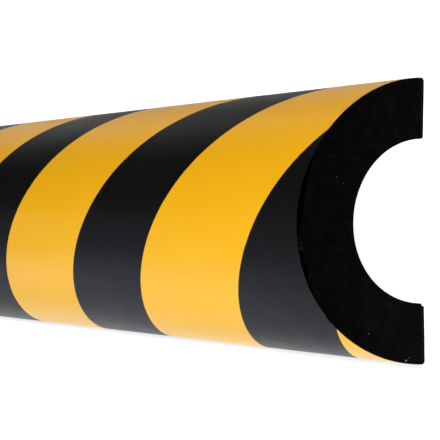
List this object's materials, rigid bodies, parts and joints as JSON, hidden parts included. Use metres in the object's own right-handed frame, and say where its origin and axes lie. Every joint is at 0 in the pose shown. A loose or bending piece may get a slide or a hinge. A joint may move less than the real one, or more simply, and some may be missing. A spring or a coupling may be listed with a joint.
{
  "type": "foam pipe protection strip",
  "caption": "Half-round black foam strip with slanting yellow warning stripes, clipped lengthwise over a pipe to soften knocks against it.",
  "frame": {"origin": "Middle of the strip's length, on the axis of the pipe that it clips over, in the plane of the two flat rims that it lies on.", "axes": "+X along the strip towards the end that the picture shows, +Z from the rims to the crown, +Y to the side that is uppermost in the picture."},
  "size_m": [1, 0.0874, 0.0437],
  "materials": {
    "black_foam": "matte",
    "yellow_print": "satin"
  },
  "bodies": {
    "root": {"foam_strip": "black_foam", "yellow_stripes": "yellow_print"}
  },
  "joints": []
}
